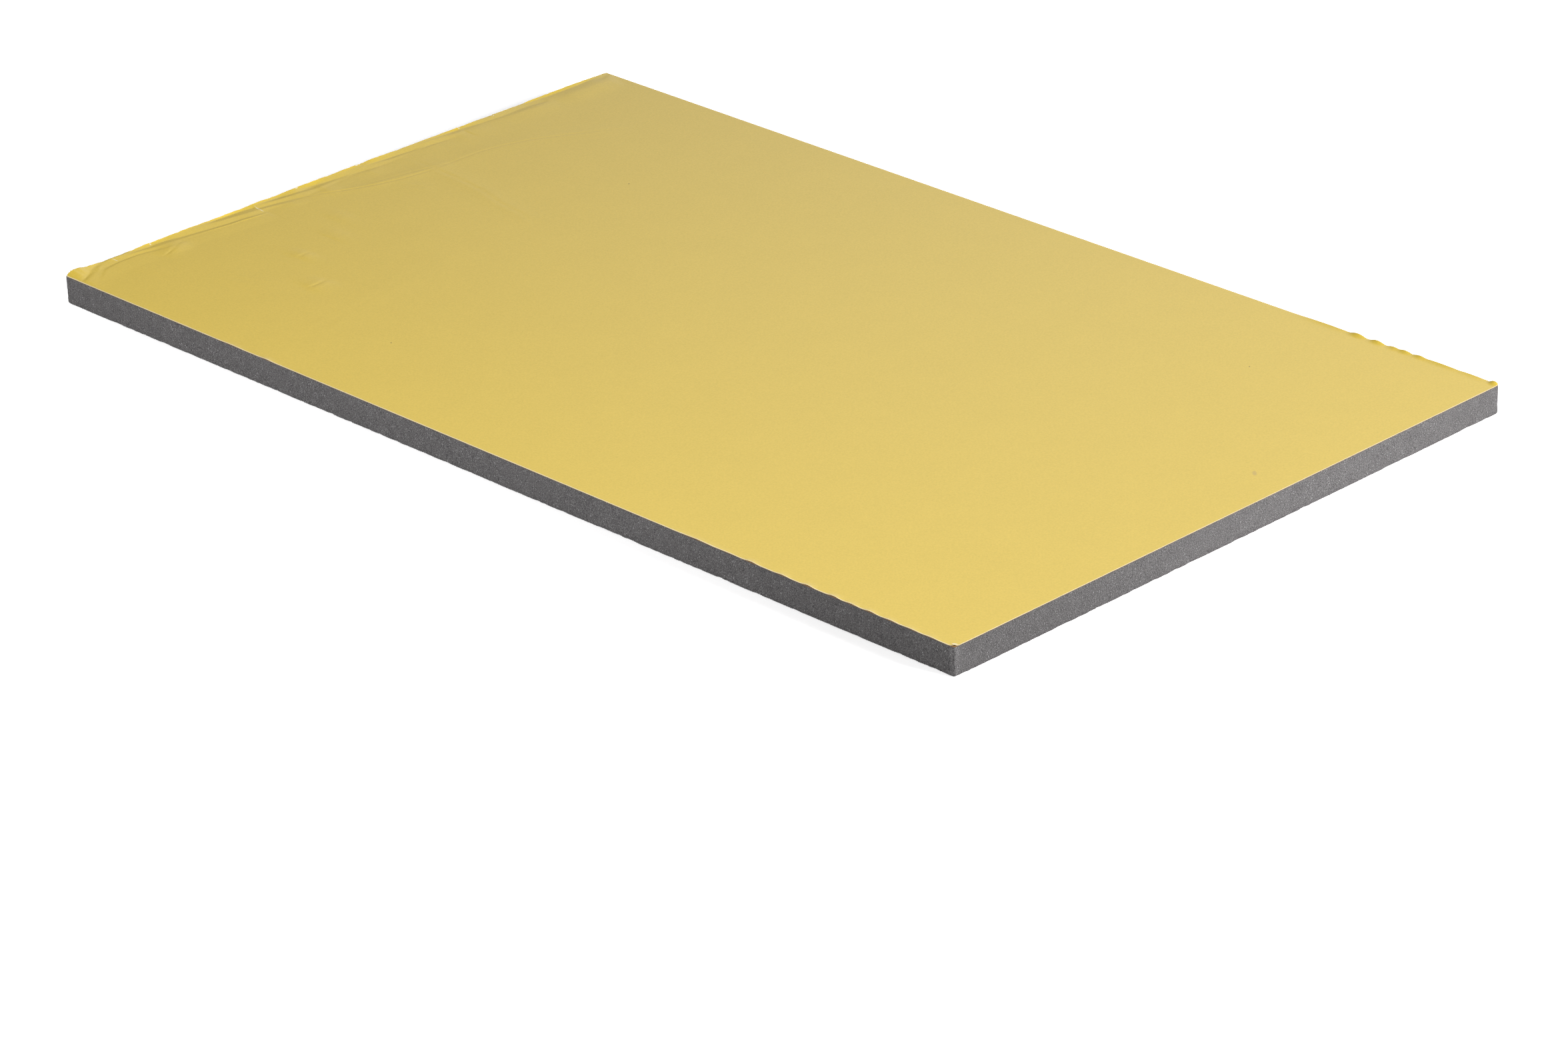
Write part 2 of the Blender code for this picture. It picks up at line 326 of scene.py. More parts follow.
def slab_mesh():
    """Rings from the middle of the underside, round the lower arris, up the side and in over the top.

    A ring is the outline moved inwards by an inset at one height. On the side the inset is the
    relief: the cells' depth, plus the blade's slow wander, plus wear near the lower arris.
    """
    half_length, half_width, height = slab_high
    points, normals = outline(half_length, half_width, CORNER_RADIUS, OUTLINE_STEP)
    turn = np.linspace(0.0, math.pi / 2, ARRIS_POINTS)
    arris = np.stack([ARRIS_RADIUS * (1 - np.sin(turn)), ARRIS_RADIUS * (1 - np.cos(turn))], -1)
    side = np.stack([np.zeros(SIDE_ROWS), np.linspace(ARRIS_RADIUS, height, SIDE_ROWS + 1)[1:]], -1)
    profile = np.concatenate([arris, side])
    generator = np.random.default_rng(SEED)
    rows, columns = len(profile), len(points)
    cells = CELL_RELIEF * np.clip(smooth_noise(rows, columns, CELL_BLUR, generator), 0.0, RELIEF_CAP)
    wander = BLADE_WANDER * 0.5 * (1 + np.tanh(smooth_noise(rows, columns, WANDER_BLUR, generator)))
    low = np.clip(1 - profile[:, 1] / (2 * ARRIS_RADIUS), 0.0, 1.0)[:, None]
    wear = ARRIS_WEAR * low * np.clip(smooth_noise(rows, columns, WEAR_BLUR, generator), 0.0, RELIEF_CAP)
    relief = cells + wander + wear
    relief[-1] *= TOP_RELIEF
    inset = profile[:, 0][:, None] + relief
    flat = points[None] - normals[None] * inset[:, :, None]
    level = np.broadcast_to(profile[:, 1][:, None, None], flat.shape[:2] + (1,))
    rings = np.concatenate([flat, level], -1)
    inner = np.array(INNER_RINGS)[:, None, None]
    under = np.concatenate([points[None] * inner[::-1], np.zeros((len(inner), columns, 1))], -1)
    over = np.concatenate([points[None] * inner, np.full((len(inner), columns, 1), height)], -1)
    rings = np.concatenate([under, rings, over])
    faces = grid_faces(len(rings), columns, closed=True)
    last = (len(rings) - 1) * columns
    faces += [list(range(columns))[::-1], list(range(last, last + columns))]
    return rings.reshape(-1, 3), faces


# %% [markdown]
# ## Foam finish
# Real thing: flexible polyurethane foam, blown and then sliced. Its cells are finer than a
# millimetre, so the cut reads as a matt, fine-grained charcoal, with a dark pore here and
# there and tiny glints where a cell's thin, glossy rim faces the lamp. One fine noise gives
# all three: its lows are the pores, its highs the glints, which are painted highlights. The
# colour is darker towards the near corner, which is painted shade, and the upright edge there
# has a painted highlight, a paler strip where the rounded corner catches the lamp.

# %% Foam material
GRAIN_SIZE = 0.85 * MILLIMETRE
GRAIN_AND_PAINTED_GLINT_TONES = [     # level of the noise, and the grey there: pores, body, painted glints
    (0.27, 0x323031), (0.38, 0x535152), (0.50, 0x676565),
    (0.62, 0x797777), (0.68, 0x8E8C8D), (0.74, 0xD8D8DA),
]
BLOTCH_SCALE = 0.12                 # scale of the soft blotches, as a share of the grain's
BLOTCH_SHARE = 0.12                 # how much they add to the grain's level
GRAIN_BUMP = 0.4 * MILLIMETRE
# the near corner: towards it the colour gets painted shade, and on its upright edge a painted highlight
NEAR_CORNER = (0.5, -0.3, 0.0)
PAINTED_SHADE_REACH = (0.05, 0.36)    # metres from that corner over which the painted shade fades out
PAINTED_SHADE_TONE = 0.80
PAINTED_HIGHLIGHT_WIDTH = (2.5 * MILLIMETRE, 6.0 * MILLIMETRE)    # painted highlight on the upright corner: a paler strip where the rounded corner catches the lamp
PAINTED_HIGHLIGHT_TONE = 1.28


def nearness(tree, place, middle, reach, near, far):
    """Blend from one value to another as the distance in plan from a point grows over a reach."""
    plan = add_node(tree, "ShaderNodeVectorMath", operation="MULTIPLY", links={0: place},
                    values={1: (1.0, 1.0, 0.0)})
    distance = add_node(tree, "ShaderNodeVectorMath", operation="DISTANCE",
                        links={0: plan.outputs["Vector"]}, values={1: middle})
    return add_node(tree, "ShaderNodeMapRange", interpolation_type="SMOOTHSTEP",
                    links={"Value": distance.outputs["Value"]},
                    values={"From Min": reach[0], "From Max": reach[1], "To Min": near, "To Max": far})


def foam_material():
    """Fine grain from dark pores through charcoal to painted pale glints, painted shade and highlight at the
    near corner, and a bump that follows the grain.
    """
    material, tree = new_material("sliced_open_cell_foam")
    place = add_node(tree, "ShaderNodeTexCoord").outputs["Object"]
    grain = add_node(tree, "ShaderNodeTexNoise", links={"Vector": place},
                     values={"Scale": 1 / GRAIN_SIZE, "Detail": 2.0, "Roughness": 0.75})
    blotches = add_node(tree, "ShaderNodeTexNoise", links={"Vector": place},
                        values={"Scale": BLOTCH_SCALE / GRAIN_SIZE, "Detail": 3.0, "Roughness": 0.6})
    level = add_node(tree, "ShaderNodeMath", operation="MULTIPLY_ADD",
                     links={0: blotches.outputs["Fac"], 2: grain.outputs["Fac"]}, values={1: BLOTCH_SHARE})
    centred = add_node(tree, "ShaderNodeMath", operation="SUBTRACT", links={0: level.outputs["Value"]},
                       values={1: BLOTCH_SHARE / 2})
    # the highest stops are painted glints: highlights set as a pale colour
    ramp = add_node(tree, "ShaderNodeValToRGB", links={"Fac": centred.outputs["Value"]})
    stops = ramp.color_ramp.elements
    stops[0].position, stops[0].color = GRAIN_AND_PAINTED_GLINT_TONES[0][0], srgb(GRAIN_AND_PAINTED_GLINT_TONES[0][1])
    stops[1].position, stops[1].color = GRAIN_AND_PAINTED_GLINT_TONES[-1][0], srgb(GRAIN_AND_PAINTED_GLINT_TONES[-1][1])
    for position, grey in GRAIN_AND_PAINTED_GLINT_TONES[1:-1]:
        stops.new(position).color = srgb(grey)
    # painted shade: the colour darkens towards the near corner
    dark = nearness(tree, place, NEAR_CORNER, PAINTED_SHADE_REACH, PAINTED_SHADE_TONE, 1.0)
    # painted highlight: the colour is paler on the near corner's upright edge
    painted_highlight = nearness(tree, place, NEAR_CORNER, PAINTED_HIGHLIGHT_WIDTH, PAINTED_HIGHLIGHT_TONE, 1.0)
    painted_light_tone = add_node(tree, "ShaderNodeMath", operation="MULTIPLY",
                    links={0: dark.outputs["Result"], 1: painted_highlight.outputs["Result"]})
    colour = add_node(tree, "ShaderNodeVectorMath", operation="SCALE",
                      links={0: ramp.outputs["Color"], "Scale": painted_light_tone.outputs["Value"]}).outputs["Vector"]
    bump = add_node(tree, "ShaderNodeBump", links={"Height": grain.outputs["Fac"]},
                    values={"Strength": 0.5, "Distance": GRAIN_BUMP})
    shader = add_node(tree, "ShaderNodeBsdfPrincipled",
                      links={"Base Color": colour, "Normal": bump.outputs["Normal"]},
                      values={"Roughness": 0.9, "IOR": 1.45, "Specular IOR Level": 0.25})
    add_node(tree, "ShaderNodeOutputMaterial", links={"Surface": shader.outputs["BSDF"]})
    return material


slab = mesh_object("foam_slab_sliced", *slab_mesh(), foam_material())
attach(slab, "root")
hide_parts("foam_slab")
print_triangles(slab)

# %% [markdown]
# ## The release paper: where it waves
# The paper is one sheet. It starts as a flat grid over the panel, and a height field lifts
# it where it has come loose. Along the back edge, near the right-hand corner, it stands in
# a row of small ripples, and along the front edge in scallops of up to a millimetre. Each
# wave is a hump along the edge that fades with the distance in from it. The near corner is
# turned up in a dog-ear.

# %% Ripples, scallops and dog-ear
RIPPLES = [         # millimetres: distance from the right-hand corner, height and spread
    (4.5, 1.8, 3), (28, 0.6, 11), (58, 0.8, 15), (78, 1.4, 4.5), (93, 1.4, 4.5),
    (104, 1.1, 4), (121, 1.6, 4.5), (141, 1.8, 5), (172, 0.6, 19),
]
RIPPLE_DEPTH = 6.5      # how far in from the edge the ripples reach
SCALLOPS = [        # millimetres: distance from the near corner, height and spread
    (23, 0.4, 4.5), (43, 0.4, 5), (63, 0.5, 4.5), (83, 0.8, 4.2), (102, 0.6, 4.2),
    (120, 0.9, 4), (146, 0.9, 4), (172, 0.6, 4.5), (204, 0.8, 4.5), (231, 0.5, 5),
    (260, 0.6, 9), (748, 0.5, 5), (790, 0.3, 8),
]
SCALLOP_DEPTH = 6.0
CURL_REACH, CURL_HEIGHT = 6.5, 2.0      # the dog-ear


def fade(distance, reach):
    """(1 - distance / reach) squared: 1 at the edge, 0 from the reach on."""
    return np.clip(1 - distance / reach, 0.0, 1.0) ** 2


def humps(along, waves):
    """The highest of the waves, each height * (1 - (offset / 2 spreads) squared) squared.

    A wave is 0 from two spreads away.
    """
    return np.maximum.reduce([height * np.clip(1 - ((along - crest) / (2 * spread)) ** 2, 0.0, 1.0) ** 2
                              for crest, height, spread in waves])


def edge_waves(right, front, back):
    """Lift in millimetres along the back edge, along the front edge and at the near corner."""
    return np.maximum.reduce([
        humps(right, RIPPLES) * fade(back, RIPPLE_DEPTH),
        humps(right, SCALLOPS) * fade(front, SCALLOP_DEPTH),
        CURL_HEIGHT * fade(np.hypot(right, front), CURL_REACH),
    ])


# %% [markdown]
# ## The release paper: the pleated left end
# Along the left end the paper has slid outwards and stands up in long, overlapping pleats.
# A table gives its section at 61 places along that end: how high the cut edge stands, and
# then seven knots inwards from it. From the edge inwards these are the rim, the
# hollow and the crest of the pleat, the groove where the paper bends, and the low swelling
# inside that groove. Where one pleat ends and the next begins, two rows lie close together.
#
# The left-hand corner is turned up as a flap, which has a table of its own: where its
# crease lies, how high its edge stands and how far it has slid outwards.

# %% Pleats and flap
# In millimetres: place along, height at the edge, then seven knots' distance inwards and height.
PLEATS = np.array([
    (0, 0, 1.2, 0, 2.2, 0, 4, 0, 18, 0, 27, 0, 30, 0, 36, 0),
    (12, 0, 1.2, 0, 2.2, 0, 4, 0, 22, 0.08, 27, 0.02, 30, 0.08, 36, 0),
    (20, 0.3, 1.2, 0.3, 2.2, 0.3, 4, 0.3, 16.5, 0.26, 20.3, 0.02, 23.5, 0.22, 34, 0),
    (30, 0.7, 1.2, 0.65, 2.5, 0.5, 4.3, 0.33, 6.5, 0.5, 13.3, 0.02, 15.4, 0.28, 32, 0),
    (36, 0.45, 1.2, 0.4, 2.2, 0.42, 3.4, 0.5, 6.5, 0.3, 11.8, 0.02, 14.4, 0.28, 32, 0),
    (42, 0.35, 1.2, 0.6, 2.2, 0.62, 3.6, 0.5, 6.5, 0.3, 10.8, 0.02, 13.15, 0.28, 31, 0),
    (47, 0.6, 1.5, 0.9, 2.5, 0.8, 3.8, 0.62, 6, 0.35, 10.2, 0.02, 12.35, 0.26, 30, 0),
    (57, 0.4, 1.5, 0.8, 2.5, 0.75, 3.8, 0.68, 6.3, 0.36, 10, 0, 12.15, 0.26, 30, 0),
    (68, 0.75, 1.3, 0.55, 2.4, 0.47, 3.8, 0.4, 6.3, 0.5, 10.2, 0.02, 12.2, 0.25, 30, 0),
    (80, 1.2, 1.2, 0.85, 2.3, 0.55, 4.8, 0.15, 8.2, 0.4, 12.4, 0.02, 16, 0.16, 30, 0),
    (86, 1.4, 1, 0.9, 2, 0.5, 4.3, 0.02, 9.2, 0.42, 14, 0.1, 17.5, 0.24, 30, 0),
    (87.2, 0.9, 1, 0.6, 2, 0.38, 4.2, 0.02, 9.3, 0.42, 14, 0.11, 17.5, 0.24, 30, 0),
    (95, 1.2, 1, 0.8, 2, 0.5, 4.2, 0.02, 10.3, 0.48, 17, 0.32, 19.5, 0.44, 34, 0),
    (105, 1.2, 1.2, 0.85, 2.5, 0.55, 5.4, 0.02, 11.2, 0.44, 16.3, 0.32, 19, 0.37, 33, 0),
    (113, 1.3, 2, 0.9, 4, 0.6, 7.8, 0.02, 11.8, 0.32, 15, 0.22, 19, 0.19, 32, 0),
    (125, 1.5, 1, 1.15, 3, 0.85, 9.9, 0.02, 13.2, 0.34, 16, 0.24, 19, 0.22, 32, 0),
    (137, 1.3, 1, 1.05, 3.2, 0.92, 11.8, 0.02, 15.5, 0.35, 16.4, 0.21, 20, 0.18, 33, 0),
    (148, 1.2, 2.6, 0.7, 4.9, 0.66, 13.6, 0.02, 17.2, 0.5, 17.68, 0.26, 21, 0.23, 34, 0),
    (158, 1, 2, 0.1, 7.1, 0.66, 15.1, 0.02, 18.8, 0.5, 19.52, 0.26, 22.5, 0.22, 35, 0),
    (170, 1.2, 2.3, 0.02, 8.7, 0.6, 15.8, 0.02, 19.6, 0.55, 20.44, 0.27, 24, 0.25, 36, 0),
    (183, 1, 3, 0.02, 10.8, 0.64, 18, 0.2, 21.5, 0.5, 22.4, 0.25, 26, 0.21, 38, 0),
    (194.5, 1.2, 5, 0.05, 12.4, 0.49, 19.5, 0.02, 22, 0.12, 24, 0.09, 27, 0.07, 38, 0),
    (195.7, 1.5, 1.2, 1.15, 2.5, 0.85, 5.2, 0.48, 8.6, 0.03, 12.6, 0.42, 18.5, 0.02, 30, 0),
    (205, 1.5, 1.2, 1.1, 3, 0.68, 5.6, 0.58, 10.2, 0.02, 14, 0.38, 18.5, 0.08, 30, 0),
    (222, 0.9, 1.5, 0.4, 3.9, 0.02, 8, 0.58, 13.8, 0.02, 18.8, 0.36, 22, 0.28, 32, 0),
    (240, 1.45, 3, 0.9, 6.8, 0.36, 10.6, 0.58, 18.5, 0.01, 21, 0.03, 25, 0.02, 32, 0),
    (248, 1.6, 3, 0.65, 7.2, 0.12, 11.8, 0.46, 18.5, 0.01, 21, 0.03, 25, 0.02, 32, 0),
    (255, 1.6, 5, 0.1, 8.5, 0.03, 12.3, 0.34, 18, 0.04, 21, 0.05, 25, 0.04, 32, 0),
    (262, 1.8, 5, 0.12, 6.5, 0.03, 12.7, 0.5, 17, 0.32, 20, 0.28, 24, 0.2, 34, 0),
    (275, 1.5, 3, 0.85, 7.8, 0.02, 11.3, 0.24, 15.5, 0.04, 19, 0.08, 24, 0.04, 30, 0),
    (283, 1.3, 3, 0.8, 8.2, 0.04, 11.3, 0.1, 15, 0.02, 18, 0.08, 24, 0.04, 30, 0),
    (290, 1.5, 4, 0.8, 9.6, 0.05, 12, 0.08, 15, 0.02, 18, 0.04, 24, 0.02, 30, 0),
    (303, 1.6, 2.6, 0.85, 5, 0.65, 11.4, 0.02, 14.8, 0.16, 18, 0.12, 24, 0.05, 30, 0),
    (313.3, 1.5, 2.6, 0.95, 5.3, 0.72, 13.3, 0.02, 17, 0.22, 20, 0.2, 25, 0.12, 32, 0),
    (314.5, 1.1, 2.4, 0.85, 6, 0.6, 10, 0.3, 13.6, 0.02, 17, 0.2, 24, 0.1, 32, 0),
    (328, 1.8, 2.5, 1.15, 5.6, 0.44, 9, 0.4, 14.5, 0.01, 18, 0.02, 24, 0.02, 32, 0),
    (342, 1.5, 2.5, 0.9, 6.9, 0.04, 10.3, 0.28, 14.5, 0.01, 18, 0.03, 24, 0.02, 30, 0),
    (349, 1.3, 2.5, 0.75, 7.2, 0.02, 10.6, 0.26, 14, 0.1, 18, 0.08, 24, 0.04, 30, 0),
    (356, 1, 2.4, 0.7, 7.6, 0.02, 10.8, 0.2, 14, 0.1, 18, 0.08, 24, 0.04, 30, 0),
    (368, 1.1, 2.4, 0.85, 9.2, 0.02, 11.5, 0.16, 15, 0.1, 18, 0.08, 24, 0.04, 30, 0),
    (385, 1.1, 2.6, 0.82, 4.4, 0.79, 11, 0.02, 13.8, 0.2, 17, 0.14, 24, 0.06, 30, 0),
    (405, 1.1, 3.5, 0.54, 6.3, 0.55, 13.8, 0.01, 16, 0.03, 19, 0.03, 24, 0.02, 30, 0),
    (418, 0.9, 3.2, 0.02, 8.9, 0.46, 13.8, 0.28, 18, 0.2, 22, 0.15, 26, 0.1, 34, 0),
    (425.3, 1.1, 3.4, 0.03, 8, 0.25, 13.8, 0.14, 18, 0.1, 22, 0.06, 26, 0.04, 34, 0),
    (426.5, 0.7, 1.5, 0.35, 3.6, 0.02, 8.4, 0.26, 13.5, 0.27, 18, 0.2, 24, 0.1, 34, 0),
    (438, 1, 2, 0.6, 5.1, 0.02, 9.4, 0.28, 13.5, 0.3, 18, 0.22, 24, 0.12, 34, 0),
    (450, 0.8, 2, 0.6, 6.8, 0.02, 9, 0.12, 13.5, 0.12, 18, 0.1, 24, 0.06, 34, 0),
    (464.5, 0.45, 2, 0.55, 7.7, 0.02, 11, 0.22, 14, 0.2, 18, 0.15, 24, 0.08, 34, 0),
    (465.6, 0.8, 2.5, 0.54, 8.2, 0.02, 11, 0.18, 14, 0.17, 20, 0.1, 26, 0.05, 34, 0),
    (478, 0.6, 1.8, 0.44, 8, 0.02, 12.5, 0.3, 14, 0.32, 20, 0.2, 26, 0.1, 34, 0),
    (492, 0.5, 1.8, 0.38, 7.6, 0.02, 12.5, 0.38, 15, 0.42, 20, 0.3, 27, 0.12, 36, 0),
    (500, 0.2, 2.5, 0.22, 8, 0.02, 12.5, 0.35, 16, 0.44, 21, 0.3, 28, 0.12, 36, 0),
    (505, 0.8, 2, 0.22, 8.2, 0.02, 13, 0.4, 16, 0.46, 21, 0.32, 28, 0.12, 36, 0),
    (515, 0.9, 2.6, 0.14, 10.7, 0.03, 14, 0.32, 17, 0.36, 21, 0.28, 28, 0.12, 36, 0),
    (523.5, 0.7, 3, 0.02, 9.5, 0.27, 14, 0.27, 18, 0.22, 22, 0.16, 28, 0.08, 36, 0),
    (524.6, 0.9, 3.4, 0.02, 9, 0.24, 14, 0.24, 18, 0.2, 22, 0.15, 28, 0.08, 36, 0),
    (545, 1, 3.8, 0.02, 8, 0.28, 12.4, 0.5, 16, 0.56, 22, 0.42, 30, 0.15, 38, 0),
    (562, 0.9, 3.9, 0.02, 6.7, 0.22, 12.4, 0.58, 16, 0.64, 22, 0.48, 30, 0.18, 38, 0),
    (577, 0.6, 2.7, 0.02, 5.6, 0.22, 12.4, 0.58, 16, 0.64, 22, 0.48, 30, 0.18, 38, 0),
    (588, 0.3, 2.5, 0.14, 7, 0.02, 12, 0.36, 16, 0.45, 22, 0.34, 30, 0.12, 38, 0),
    (600, 0, 2, 0, 4, 0, 6, 0, 8, 0, 10, 0, 12, 0, 14, 0),
])
# In millimetres: place along, distance inwards of the crease, height at the edge, slide outwards.
FLAP = np.array([
    (0, 21, 0, 0), (2, 19.8, 0.5, 0.3), (5, 18.2, 1.4, 1.3), (8.5, 16.5, 2.1, 2.2),
    (11, 14.9, 1.9, 1.9), (12.5, 13.9, 2.1, 1.5), (15.5, 12.1, 2.1, 1.6), (17.5, 11.1, 1.5, 1),
    (21, 9, 1.2, 0), (27, 5.5, 1.1, 0), (33, 2.5, 0.7, 0), (37, 1, 0, 0),
])
FLAP_SLIDE_REACH = 14.0     # how far in from the edge the slide dies out
FLAP_EDGE = 0.5             # how far in from the edge the flap reaches its full height
FLAP_SWELL = 0.35           # height of the swelling inside the flap's crease
FLAP_SWELL_FULL = 1.5       # height of the flap's edge from which the swelling is full
FLAP_SWELL_WIDTH = 4.5


def section(inwards, start, knots):
    """The height along broken lines: the start, plus each step up or down times the share of it passed."""
    height, place = start, np.zeros_like(start)
    total = height.copy()
    for knot, level in knots:
        total += (level - height) * np.clip((inwards - place) / (knot - place), 0.0, 1.0)
        place, height = knot, level
    return total


def left_end(along, inwards):
    """Lift in millimetres: the pleats' section at each place along the end or the flap's, if higher.

    The flap climbs evenly from its crease to its edge. Inside the crease it swells by v exp(1 - v), where
    v is the distance from the crease in widths of the swelling.
    """
    columns = [np.interp(along, PLEATS[:, 0], column) for column in PLEATS[:, 1:].T]
    pleats = section(inwards, columns[0], zip(columns[1::2], columns[2::2]))
    crease = np.interp(along, FLAP[:, 0], FLAP[:, 1])
    height = np.interp(along, FLAP[:, 0], FLAP[:, 2])
    climb = height * np.clip((crease - inwards) / (crease - FLAP_EDGE), 0.0, 1.0)
    v = np.clip((inwards - crease) / FLAP_SWELL_WIDTH, 0.0, None)
    swell = FLAP_SWELL * np.minimum(height / FLAP_SWELL_FULL, 1.0) * v * np.exp(1 - v)
    return np.maximum(pleats, climb + swell)


def flap_slide(along, inwards):
    """How far in millimetres the flap has slid outwards: most at the edge, none from its reach on."""
    return np.interp(along, FLAP[:, 0], FLAP[:, 3]) * fade(inwards, FLAP_SLIDE_REACH)


# %% [markdown]
# ## The release paper: creases over the sheet
# A few faint creases cross the sheet where it was once bent. Each is a fine groove between
# two low swellings, along a broken line, and it dies out towards its tips.

# %% Creases
# In millimetres: height, half-width, then points, by their distance from the left end and the front.
CREASES = [
    (0.44, 1.0, [(17, 232), (18, 238), (22, 248), (29, 262), (36, 277), (44, 297), (50, 318), (54, 345)]),
    (0.24, 1.3, [(50, 318), (54, 345), (54, 402), (57.5, 422), (66, 449), (79, 473), (96, 503), (112, 525)]),
    (0.32, 1.0, [(36, 292), (40, 308), (44, 328), (49, 348), (54, 368)]),
    (0.28, 1.4, [(23, 353), (56, 352), (89, 350), (121, 346), (149, 338), (181, 334), (205, 327)]),
    (0.18, 1.4, [(54, 308), (66, 311), (82, 322)]),
    (0.10, 1.4, [(22, 203), (27, 215), (33, 235), (36, 250)]),
    (0.14, 2.2, [(249, 27), (235, 71), (223, 129), (214, 164), (196, 243)]),
    (0.55, 1.6, [(167, 114), (168, 124), (166, 135)]),
    (0.50, 1.6, [(113, 150), (112, 163)]),
    (0.30, 1.6, [(73, 222), (73, 238)]),
    (0.30, 1.6, [(101, 195), (101, 211)]),
    (0.10, 1.8, [(94, 86), (115, 90), (151, 103)]),
    (0.5, 1.3, [(29, 80), (24, 92), (19, 101), (16, 107)]),
    (0.10, 1.8, [(38, 62), (46, 48)]),
]
SWELL_WIDTHS = 5.0      # width of the swellings beside a groove, as a multiple of its own


def crease(left, front, height, half_width, path):
    """height * (exp(-d / 5 w) - exp(-d / w)) * (4 t (1 - t)) ** 0.5, for distance d and half-width w.

    The distance is the least one to any of the path's straight runs, and t is the share of the path passed.
    """
    path = np.array(path, float)
    runs = np.diff(path, axis=0)
    lengths = np.hypot(*runs.T)
    offset = np.stack([left, front], -1)[..., None, :] - path[:-1]
    share = np.clip((offset * runs).sum(-1) / lengths ** 2, 0.0, 1.0)
    distance = np.linalg.norm(offset - share[..., None] * runs, axis=-1)
    passed = np.cumsum(lengths) - lengths + share * lengths
    t = np.take_along_axis(passed, distance.argmin(-1)[..., None], -1)[..., 0] / lengths.sum()
    d = distance.min(-1) / half_width
    return height * (np.exp(-d / SWELL_WIDTHS) - np.exp(-d)) * np.sqrt(np.clip(4 * t * (1 - t), 0.0, 1.0))


# %% [markdown]
# ## Making the sheet
# The grid's lines lie closer together where the paper waves, and one group of them follows
# the long crease. The grid's square corners are pulled in to the slab's rounded ones and the
# lift is added. The face is this grid raised by the paper's thickness. The underside only
# shows where the paper stands up, so it is a frame of the same grid round one flat polygon,
# and a rim of narrow faces closes the two. The rim takes a second material, because the
# paper shows its pale core where it is cut.

# %% Paper mesh
# In millimetres: places from the left end, and the spacing of the grid's lines there.
X_STEPS = [
    (0, 0.65), (18, 0.65), (20, 1.5), (42, 1.5), (44, 0.8), (56, 0.8), (58, 2.6), (114, 2.6),
    (116, 1.2), (122, 1.2), (124, 2.6), (162, 2.6), (164, 1.2), (170, 1.2), (172, 2.6), (255, 2.6),
    (275, 18), (770, 18), (785, 2.6), (984, 2.6), (985, 0.9), (1000, 0.9),
]
# The same from the front edge.
Y_STEPS = [
    (0, 0.9), (8, 0.9), (9, 1.6), (30, 1.6), (32, 3), (82, 3), (84, 1), (90, 1), (92, 3), (190, 3),
    (192, 1), (198, 1), (201, 3), (310, 3), (312, 1), (317, 1), (320, 2), (356, 2), (359, 3.5),
    (422, 3.5), (424, 1), (428, 1), (431, 3.5), (461, 3.5), (463, 1), (467, 1), (470, 3.5),
    (499, 3), (503, 1.2), (507, 1.2), (510, 3), (521, 2), (522.5, 1), (526, 1), (530, 3.5),
    (569, 3.5), (570, 1.6), (591, 1.6), (592, 0.9), (600, 0.9),
]
# The line that the close group of columns follows: distance from the front and the left end.
FOLLOWED = np.array([
    (0, 38), (225, 32), (250, 28), (262, 31), (277, 36), (297, 44), (318, 50), (345, 54),
    (402, 54), (422, 57.5), (449, 66), (473, 79), (503, 96), (525, 104), (600, 104),
])
GROUP_AT, GROUP_HALF = 50.0, 6.0    # where the group lies before it is moved, and half its width
FIXED_TO, FIXED_FROM = 20.0, 162.0  # columns nearer than the one or past the other stay in place
GROUP_CLEAR = 2.0                   # least room between the nearer fixed columns and the group
STATION_SAMPLES = 8001
FRAME_WIDTH = (40.0, 15.0)      # width of the underside's frame at the left end and along the other sides
PAPER_THICKNESS = 0.15 * MILLIMETRE
PAPER_CORNER = 1.8 * MILLIMETRE
EDGE_RAGGED = 0.35      # millimetres: how uneven the cut edge is at the left end
RAGGED_REACH = 0.7      # millimetres: how far in from that edge this dies out
PAPER_SEED = 3


def stations(length, steps):
    """Places from 0 to length whose spacing follows the (place, spacing) pairs in steps, in millimetres.

    The number of cells up to a place is the integral of 1 / spacing, which is read back at whole numbers.
    """
    fine = np.linspace(0.0, length, STATION_SAMPLES)
    rate = 1 / np.interp(fine, *zip(*steps))
    count = np.concatenate([[0.0], np.cumsum((rate[1:] + rate[:-1]) / 2 * np.diff(fine))])
    return np.interp(np.linspace(0.0, count[-1], round(count[-1]) + 1), count, fine)


def follow(left, front):
    """Move the close group of columns sideways to the crease, by broken lines from place to place."""
    target = np.interp(front, *FOLLOWED.T)
    moves = [(FIXED_TO, np.minimum(FIXED_TO, target - GROUP_HALF - GROUP_CLEAR)),
             (GROUP_AT - GROUP_HALF, target - GROUP_HALF),
             (GROUP_AT + GROUP_HALF, target + GROUP_HALF),
             (FIXED_FROM, FIXED_FROM)]
    return np.where(left < FIXED_FROM, section(left, np.zeros_like(target), moves), left)


def round_corners(x, y, half_length, half_width, radius):
    """Pull each square corner in to a quarter circle: scale a point there by max(u, v) / hypot(u, v)."""
    u = np.clip((np.abs(x) - half_length) / radius + 1, 0.0, 1.0)
    v = np.clip((np.abs(y) - half_width) / radius + 1, 0.0, 1.0)
    pull = np.maximum(u, v) / np.maximum(np.hypot(u, v), 1e-9)
    pull = np.where((u > 0) & (v > 0), pull, 1.0)
    return (x - np.sign(x) * radius * u * (1 - pull), y - np.sign(y) * radius * v * (1 - pull))


